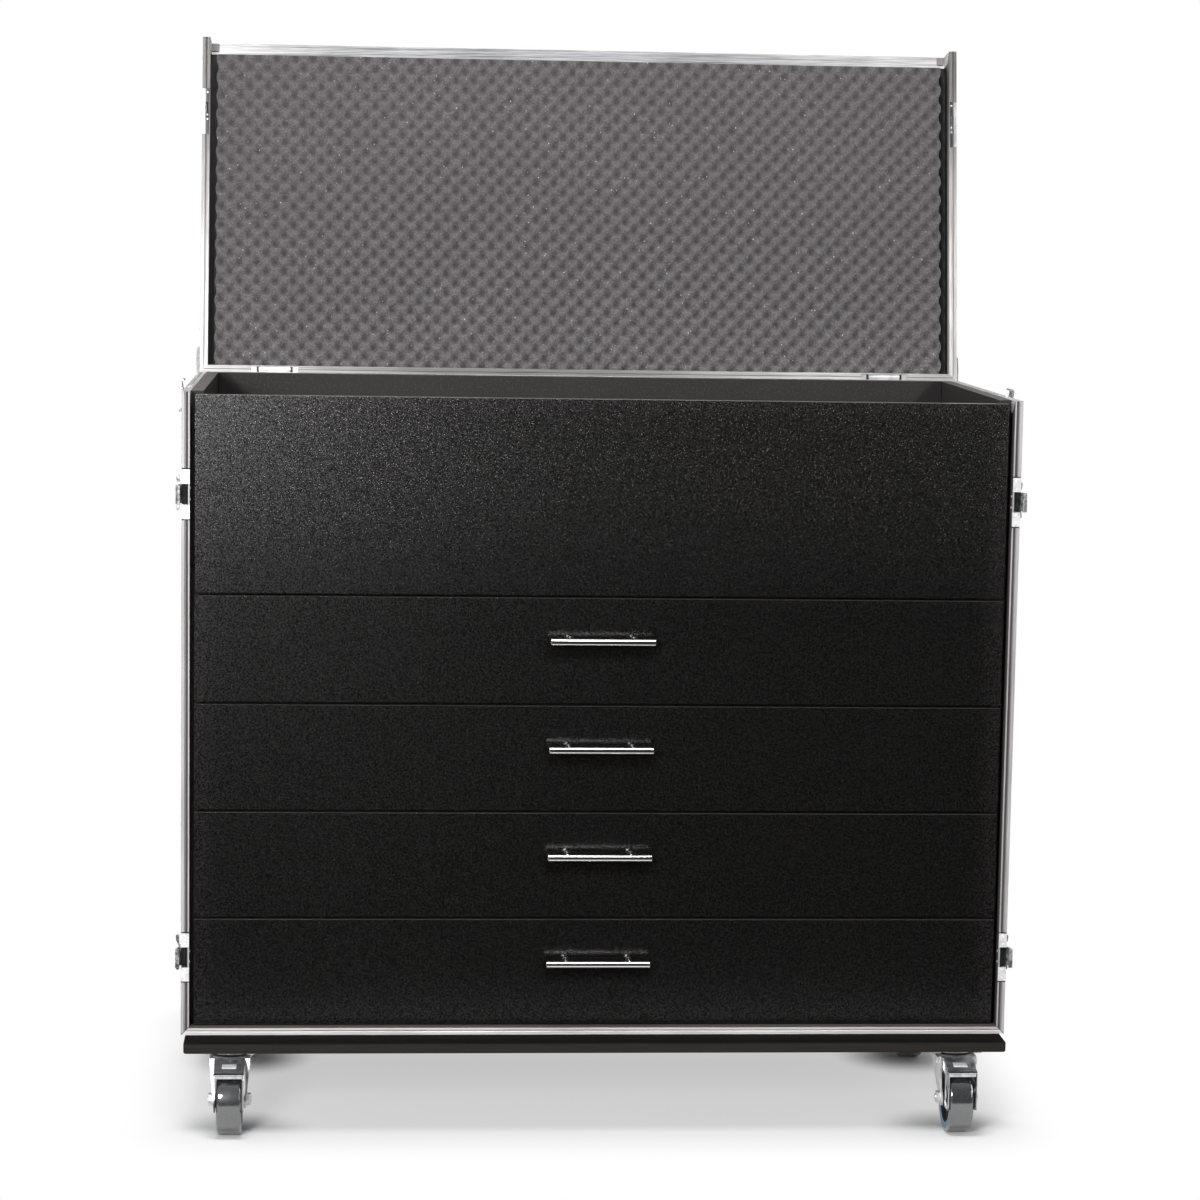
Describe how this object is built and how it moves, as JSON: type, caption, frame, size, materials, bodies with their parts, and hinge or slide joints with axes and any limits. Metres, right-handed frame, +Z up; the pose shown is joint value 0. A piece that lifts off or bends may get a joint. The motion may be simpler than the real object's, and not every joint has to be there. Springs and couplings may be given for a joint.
{
  "type": "road case with drawers",
  "caption": "Wheeled road case: hinged foam-lined lid over a top compartment, drawers on runners below, butterfly latches for a front cover.",
  "frame": {"origin": "on the floor, at the middle of the whole case's footprint with the lid open", "axes": "+X to the right as seen from the front, +Y from the front to the rear, +Z up"},
  "size_m": [1.218, 0.753, 1.5903],
  "materials": {
    "black_ply": "textured black coating",
    "aluminium": "satin extruded",
    "zinc_steel": "bright zinc plated",
    "stainless": "brushed stainless",
    "foam": "open cell foam",
    "tyre": "matt elastic rubber",
    "grip": "black plastic grip"
  },
  "bodies": {
    "body": {"side_wall_left": "black_ply", "carcass_side_left": "black_ply", "side_wall_right": "black_ply", "carcass_side_right": "black_ply", "rear_wall": "black_ply", "front_edge_frame": "aluminium", "rim_edge_frame": "aluminium", "rear_edge_frame": "aluminium", "base_board": "black_ply", "carcass_back": "black_ply", "compartment_floor": "black_ply", "front_panel": "black_ply", "handle_dish_left": "zinc_steel", "hinge_leaf_body_left": "zinc_steel", "handle_dish_right": "zinc_steel", "hinge_leaf_body_right": "zinc_steel", "caster_plate_front_left": "zinc_steel", "caster_plate_front_right": "zinc_steel", "caster_plate_rear_left": "zinc_steel", "caster_plate_rear_right": "zinc_steel"},
    "lid": {"lid_shell": "black_ply", "lid_rim_frame": "aluminium", "lid_edge_frame": "aluminium", "lid_foam": "foam", "catch_dish_left": "zinc_steel", "hinge_leaf_lid_left": "zinc_steel", "catch_dish_right": "zinc_steel", "hinge_leaf_lid_right": "zinc_steel"},
    "drawer_1": {"drawer_1": "black_ply", "drawer_handle_1": "stainless"},
    "drawer_2": {"drawer_2": "black_ply", "drawer_handle_2": "stainless"},
    "drawer_3": {"drawer_3": "black_ply", "drawer_handle_3": "stainless"},
    "drawer_4": {"drawer_4": "black_ply", "drawer_handle_4": "stainless"},
    "latch_wing_upper_left": {"latch_wing_upper_left": "zinc_steel"},
    "latch_claw_upper_left": {"latch_claw_upper_left": "zinc_steel"},
    "latch_wing_upper_right": {"latch_wing_upper_right": "zinc_steel"},
    "latch_claw_upper_right": {"latch_claw_upper_right": "zinc_steel"},
    "latch_wing_lower_left": {"latch_wing_lower_left": "zinc_steel"},
    "latch_claw_lower_left": {"latch_claw_lower_left": "zinc_steel"},
    "latch_wing_lower_right": {"latch_wing_lower_right": "zinc_steel"},
    "latch_claw_lower_right": {"latch_claw_lower_right": "zinc_steel"},
    "latch_wing_lid_left": {"latch_wing_lid_left": "zinc_steel"},
    "latch_claw_lid_left": {"latch_claw_lid_left": "zinc_steel"},
    "latch_wing_lid_right": {"latch_wing_lid_right": "zinc_steel"},
    "latch_claw_lid_right": {"latch_claw_lid_right": "zinc_steel"},
    "side_grip_left": {"side_grip_left": "grip"},
    "side_grip_right": {"side_grip_right": "grip"},
    "caster_fork_front_left": {"caster_fork_front_left": "zinc_steel"},
    "caster_wheel_front_left": {"caster_wheel_front_left": "tyre"},
    "brake_pedal_left": {"brake_pedal_left": "zinc_steel"},
    "caster_fork_front_right": {"caster_fork_front_right": "zinc_steel"},
    "caster_wheel_front_right": {"caster_wheel_front_right": "tyre"},
    "brake_pedal_right": {"brake_pedal_right": "zinc_steel"},
    "caster_fork_rear_left": {"caster_fork_rear_left": "zinc_steel"},
    "caster_wheel_rear_left": {"caster_wheel_rear_left": "tyre"},
    "caster_fork_rear_right": {"caster_fork_rear_right": "zinc_steel"},
    "caster_wheel_rear_right": {"caster_wheel_rear_right": "tyre"}
  },
  "joints": [
    {"name": "lid_hinge", "type": "hinge", "parent": "body", "child": "lid", "pos_m": [0, 0.22599, 1.065], "axis": [1, 0, 0], "range_deg": [0, 99.5]},
    {"name": "drawer_1_slide", "type": "slide", "parent": "body", "child": "drawer_1", "axis": [0, -1, 0], "range_m": [0, 0.34]},
    {"name": "drawer_2_slide", "type": "slide", "parent": "body", "child": "drawer_2", "axis": [0, -1, 0], "range_m": [0, 0.34]},
    {"name": "drawer_3_slide", "type": "slide", "parent": "body", "child": "drawer_3", "axis": [0, -1, 0], "range_m": [0, 0.34]},
    {"name": "drawer_4_slide", "type": "slide", "parent": "body", "child": "drawer_4", "axis": [0, -1, 0], "range_m": [0, 0.34]},
    {"name": "latch_wing_upper_left_turn", "type": "hinge", "parent": "body", "child": "latch_wing_upper_left", "pos_m": [-0.6, -0.27651, 0.9225], "axis": [-1, 0, 0], "range_deg": [0, 180]},
    {"name": "latch_claw_upper_left_swing", "type": "hinge", "parent": "body", "child": "latch_claw_upper_left", "pos_m": [-0.595, -0.29651, 0.9225], "axis": [0, 0, 1], "range_deg": [0, 12]},
    {"name": "latch_wing_upper_right_turn", "type": "hinge", "parent": "body", "child": "latch_wing_upper_right", "pos_m": [0.6, -0.27651, 0.9225], "axis": [1, 0, 0], "range_deg": [0, 180]},
    {"name": "latch_claw_upper_right_swing", "type": "hinge", "parent": "body", "child": "latch_claw_upper_right", "pos_m": [0.595, -0.29651, 0.9225], "axis": [0, 0, -1], "range_deg": [0, 12]},
    {"name": "latch_wing_lower_left_turn", "type": "hinge", "parent": "body", "child": "latch_wing_lower_left", "pos_m": [-0.6, -0.27651, 0.2545], "axis": [-1, 0, 0], "range_deg": [0, 180]},
    {"name": "latch_claw_lower_left_swing", "type": "hinge", "parent": "body", "child": "latch_claw_lower_left", "pos_m": [-0.595, -0.29651, 0.2545], "axis": [0, 0, 1], "range_deg": [0, 12]},
    {"name": "latch_wing_lower_right_turn", "type": "hinge", "parent": "body", "child": "latch_wing_lower_right", "pos_m": [0.6, -0.27651, 0.2545], "axis": [1, 0, 0], "range_deg": [0, 180]},
    {"name": "latch_claw_lower_right_swing", "type": "hinge", "parent": "body", "child": "latch_claw_lower_right", "pos_m": [0.595, -0.29651, 0.2545], "axis": [0, 0, -1], "range_deg": [0, 12]},
    {"name": "latch_wing_lid_left_turn", "type": "hinge", "parent": "body", "child": "latch_wing_lid_left", "pos_m": [-0.6, -0.18851, 1.034], "axis": [-1, 0, 0], "range_deg": [0, 180]},
    {"name": "latch_claw_lid_left_swing", "type": "hinge", "parent": "body", "child": "latch_claw_lid_left", "pos_m": [-0.595, -0.18851, 1.054], "axis": [0, 1, 0], "range_deg": [0, 12]},
    {"name": "latch_wing_lid_right_turn", "type": "hinge", "parent": "body", "child": "latch_wing_lid_right", "pos_m": [0.6, -0.18851, 1.034], "axis": [1, 0, 0], "range_deg": [0, 180]},
    {"name": "latch_claw_lid_right_swing", "type": "hinge", "parent": "body", "child": "latch_claw_lid_right", "pos_m": [0.595, -0.18851, 1.054], "axis": [0, -1, 0], "range_deg": [0, 12]},
    {"name": "side_grip_left_lift", "type": "hinge", "parent": "body", "child": "side_grip_left", "pos_m": [-0.593, -0.04301, 0.676], "axis": [0, 1, 0], "range_deg": [0, 90], "stiffness_Nm_per_rad": 0.12},
    {"name": "side_grip_right_lift", "type": "hinge", "parent": "body", "child": "side_grip_right", "pos_m": [0.593, -0.04301, 0.676], "axis": [0, -1, 0], "range_deg": [0, 90], "stiffness_Nm_per_rad": 0.12},
    {"name": "caster_fork_front_left_swivel", "type": "hinge", "parent": "body", "child": "caster_fork_front_left", "pos_m": [-0.529, -0.28851, 0.1], "axis": [0, 0, 1], "continuous": true},
    {"name": "caster_wheel_front_left_spin", "type": "hinge", "parent": "caster_fork_front_left", "child": "caster_wheel_front_left", "pos_m": [-0.529, -0.32651, 0.05], "axis": [1, 0, 0], "continuous": true},
    {"name": "brake_pedal_left_press", "type": "hinge", "parent": "caster_fork_front_left", "child": "brake_pedal_left", "pos_m": [-0.529, -0.31851, 0.1], "axis": [1, 0, 0], "range_deg": [0, 8]},
    {"name": "caster_fork_front_right_swivel", "type": "hinge", "parent": "body", "child": "caster_fork_front_right", "pos_m": [0.529, -0.28851, 0.1], "axis": [0, 0, 1], "continuous": true},
    {"name": "caster_wheel_front_right_spin", "type": "hinge", "parent": "caster_fork_front_right", "child": "caster_wheel_front_right", "pos_m": [0.529, -0.32651, 0.05], "axis": [1, 0, 0], "continuous": true},
    {"name": "brake_pedal_right_press", "type": "hinge", "parent": "caster_fork_front_right", "child": "brake_pedal_right", "pos_m": [0.529, -0.31851, 0.1], "axis": [1, 0, 0], "range_deg": [0, 8]},
    {"name": "caster_fork_rear_left_swivel", "type": "hinge", "parent": "body", "child": "caster_fork_rear_left", "pos_m": [-0.529, 0.13949, 0.1], "axis": [0, 0, 1], "continuous": true},
    {"name": "caster_wheel_rear_left_spin", "type": "hinge", "parent": "caster_fork_rear_left", "child": "caster_wheel_rear_left", "pos_m": [-0.529, 0.10149, 0.05], "axis": [1, 0, 0], "continuous": true},
    {"name": "caster_fork_rear_right_swivel", "type": "hinge", "parent": "body", "child": "caster_fork_rear_right", "pos_m": [0.529, 0.13949, 0.1], "axis": [0, 0, 1], "continuous": true},
    {"name": "caster_wheel_rear_right_spin", "type": "hinge", "parent": "caster_fork_rear_right", "child": "caster_wheel_rear_right", "pos_m": [0.529, 0.10149, 0.05], "axis": [1, 0, 0], "continuous": true}
  ],
  "couplings": [
    {"joint": "latch_claw_upper_left_swing", "follows": "latch_wing_upper_left_turn", "ratio": 0.066667},
    {"joint": "latch_claw_upper_right_swing", "follows": "latch_wing_upper_right_turn", "ratio": 0.066667},
    {"joint": "latch_claw_lower_left_swing", "follows": "latch_wing_lower_left_turn", "ratio": 0.066667},
    {"joint": "latch_claw_lower_right_swing", "follows": "latch_wing_lower_right_turn", "ratio": 0.066667},
    {"joint": "latch_claw_lid_left_swing", "follows": "latch_wing_lid_left_turn", "ratio": 0.066667},
    {"joint": "latch_claw_lid_right_swing", "follows": "latch_wing_lid_right_turn", "ratio": 0.066667}
  ]
}
